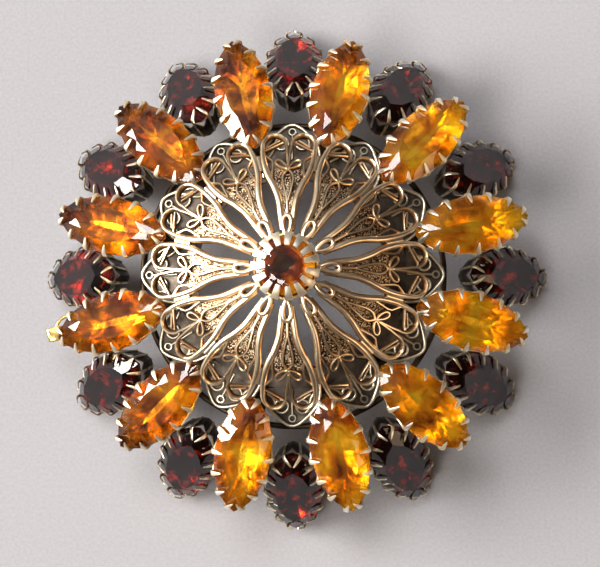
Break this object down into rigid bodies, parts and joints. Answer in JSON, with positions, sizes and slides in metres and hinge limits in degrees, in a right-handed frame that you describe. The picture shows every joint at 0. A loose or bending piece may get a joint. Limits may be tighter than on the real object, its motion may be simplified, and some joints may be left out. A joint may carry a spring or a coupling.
{
  "type": "brooch",
  "caption": "Domed filigree brooch with a claw-set centre stone, a ring of bright navette stones over a steeper ring of dark ones, and a hinged pin with a safety catch.",
  "frame": {"origin": "centre of the brooch on the plane that the feet of its outer settings rest on", "axes": "+Z out of the front, from the back to the centre stone; +X and +Y across the front, with the pin along +X in the upper half"},
  "size_m": [0.064, 0.0641, 0.029],
  "materials": {
    "antiqued_gold": "stamped brass, gold plated and antiqued: dark in the recesses, rubbed bright on the high wires",
    "darkened_brass": "stamped brass, darkened all over with rubbed edges",
    "prong_gold": "pale gold plated cups with bright polished claws",
    "yellow_gilt": "bright yellow gilt wire and strip",
    "pin_steel": "gold-washed steel pin wire, drawn and lightly worn",
    "topaz_glass": "faceted amber topaz glass with a foiled back, polished",
    "garnet_glass": "faceted smoky garnet glass with a foiled back, polished, nearly black"
  },
  "bodies": {
    "brooch": {"dome_filigree": "antiqued_gold", "base_filigree": "darkened_brass", "back_frame": "darkened_brass", "chaton_stone": "topaz_glass", "chaton_setting": "prong_gold", "centre_rivet": "darkened_brass", "upper_setting_01": "prong_gold", "upper_setting_02": "prong_gold", "upper_setting_03": "prong_gold", "upper_setting_04": "prong_gold", "upper_setting_05": "prong_gold", "upper_setting_06": "prong_gold", "upper_setting_07": "prong_gold", "upper_setting_08": "prong_gold", "upper_setting_09": "prong_gold", "upper_setting_10": "prong_gold", "upper_setting_11": "prong_gold", "upper_setting_12": "prong_gold", "upper_stone_01": "topaz_glass", "upper_stone_02": "topaz_glass", "upper_stone_03": "topaz_glass", "upper_stone_04": "topaz_glass", "upper_stone_05": "topaz_glass", "upper_stone_06": "topaz_glass", "upper_stone_07": "topaz_glass", "upper_stone_08": "topaz_glass", "upper_stone_09": "topaz_glass", "upper_stone_10": "topaz_glass", "upper_stone_11": "topaz_glass", "upper_stone_12": "topaz_glass", "lower_setting_01": "darkened_brass", "lower_setting_02": "darkened_brass", "lower_setting_03": "darkened_brass", "lower_setting_04": "darkened_brass", "lower_setting_05": "darkened_brass", "lower_setting_06": "darkened_brass", "lower_setting_07": "darkened_brass", "lower_setting_08": "darkened_brass", "lower_setting_09": "darkened_brass", "lower_setting_10": "darkened_brass", "lower_setting_11": "darkened_brass", "lower_setting_12": "darkened_brass", "lower_stone_01": "garnet_glass", "lower_stone_02": "garnet_glass", "lower_stone_03": "garnet_glass", "lower_stone_04": "garnet_glass", "lower_stone_05": "garnet_glass", "lower_stone_06": "garnet_glass", "lower_stone_07": "garnet_glass", "lower_stone_08": "garnet_glass", "lower_stone_09": "garnet_glass", "lower_stone_10": "garnet_glass", "lower_stone_11": "garnet_glass", "lower_stone_12": "garnet_glass", "pin_bar": "antiqued_gold", "pin_rivet": "pin_steel", "bail_ring": "yellow_gilt"},
    "pin": {"pin_stem": "pin_steel"},
    "roller": {"catch_roller": "yellow_gilt"},
    "link": {"bail_link": "yellow_gilt"}
  },
  "joints": [
    {"name": "pin_hinge", "type": "hinge", "parent": "brooch", "child": "pin", "pos_m": [-0.0115, 0.0135, 0.0026], "axis": [0, 1, 0], "range_deg": [0, 100]},
    {"name": "catch_turn", "type": "hinge", "parent": "brooch", "child": "roller", "pos_m": [0.011, 0.0135, 0.0026], "axis": [1, 0, 0], "range_deg": [0, 120]},
    {"name": "link_swing", "type": "hinge", "parent": "brooch", "child": "link", "pos_m": [-0.02992, -0.00718, 0.00771], "axis": [0.2334, -0.9724, 0], "range_deg": [-60, 60]}
  ]
}
